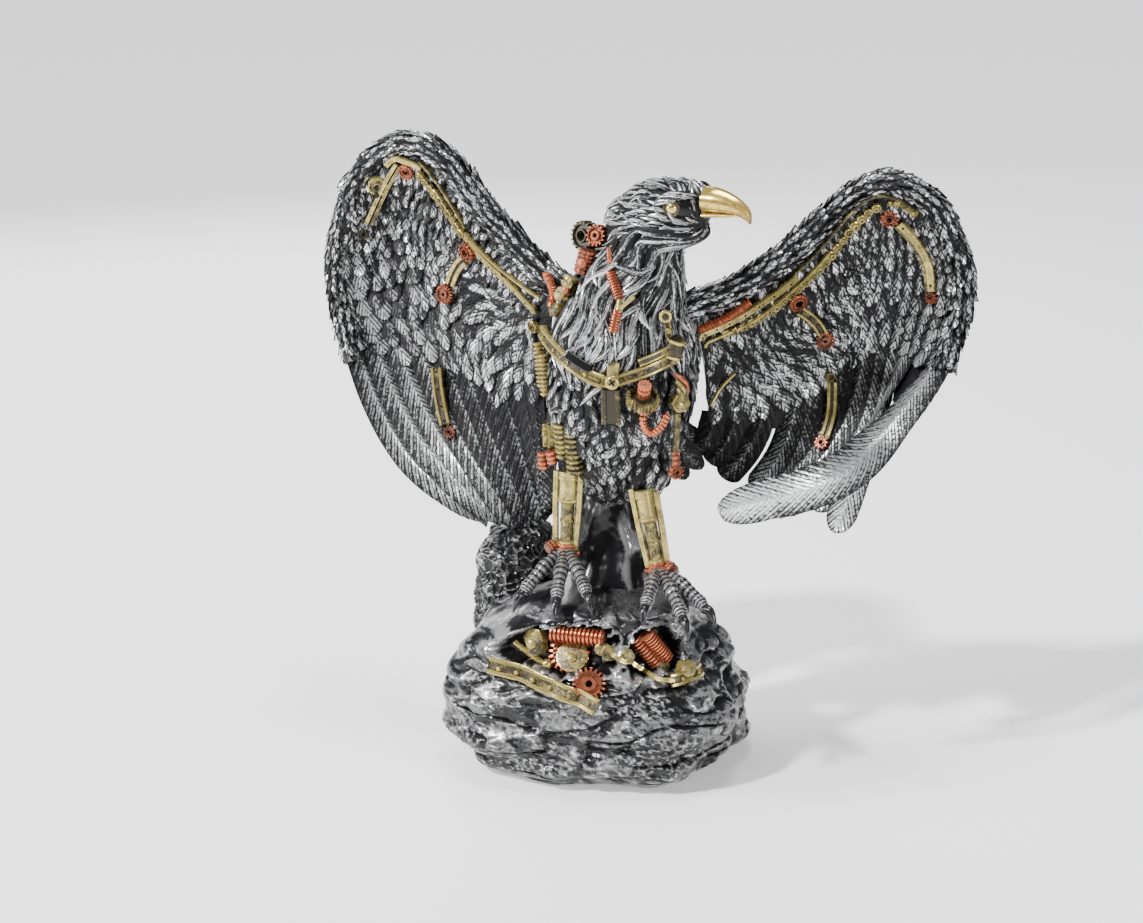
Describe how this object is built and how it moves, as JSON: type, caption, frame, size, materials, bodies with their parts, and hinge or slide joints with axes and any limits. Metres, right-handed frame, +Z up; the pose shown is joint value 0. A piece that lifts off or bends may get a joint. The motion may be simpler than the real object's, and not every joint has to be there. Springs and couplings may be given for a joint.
{
  "type": "steampunk eagle figurine",
  "caption": "Cast resin eagle figurine with raised cupped wings and clockwork trim, standing on a rough rock base.",
  "frame": {"origin": "on the flat underside of the rock, below the eagle's body", "axes": "+Z up, the eagle faces -Y, +X along the wing span towards the wing that is on the right in a front view"},
  "size_m": [0.3051, 0.1278, 0.2792],
  "materials": {
    "antique_silver": "metallic silver paint dry-brushed over black resin, bright on the high edges",
    "brass_paint": "aged brass paint with dark crevices",
    "copper_paint": "copper paint with dark crevices",
    "beak_gold": "polished gold paint"
  },
  "bodies": {
    "root": {"eagle_figurine": "antique_silver"}
  },
  "joints": []
}
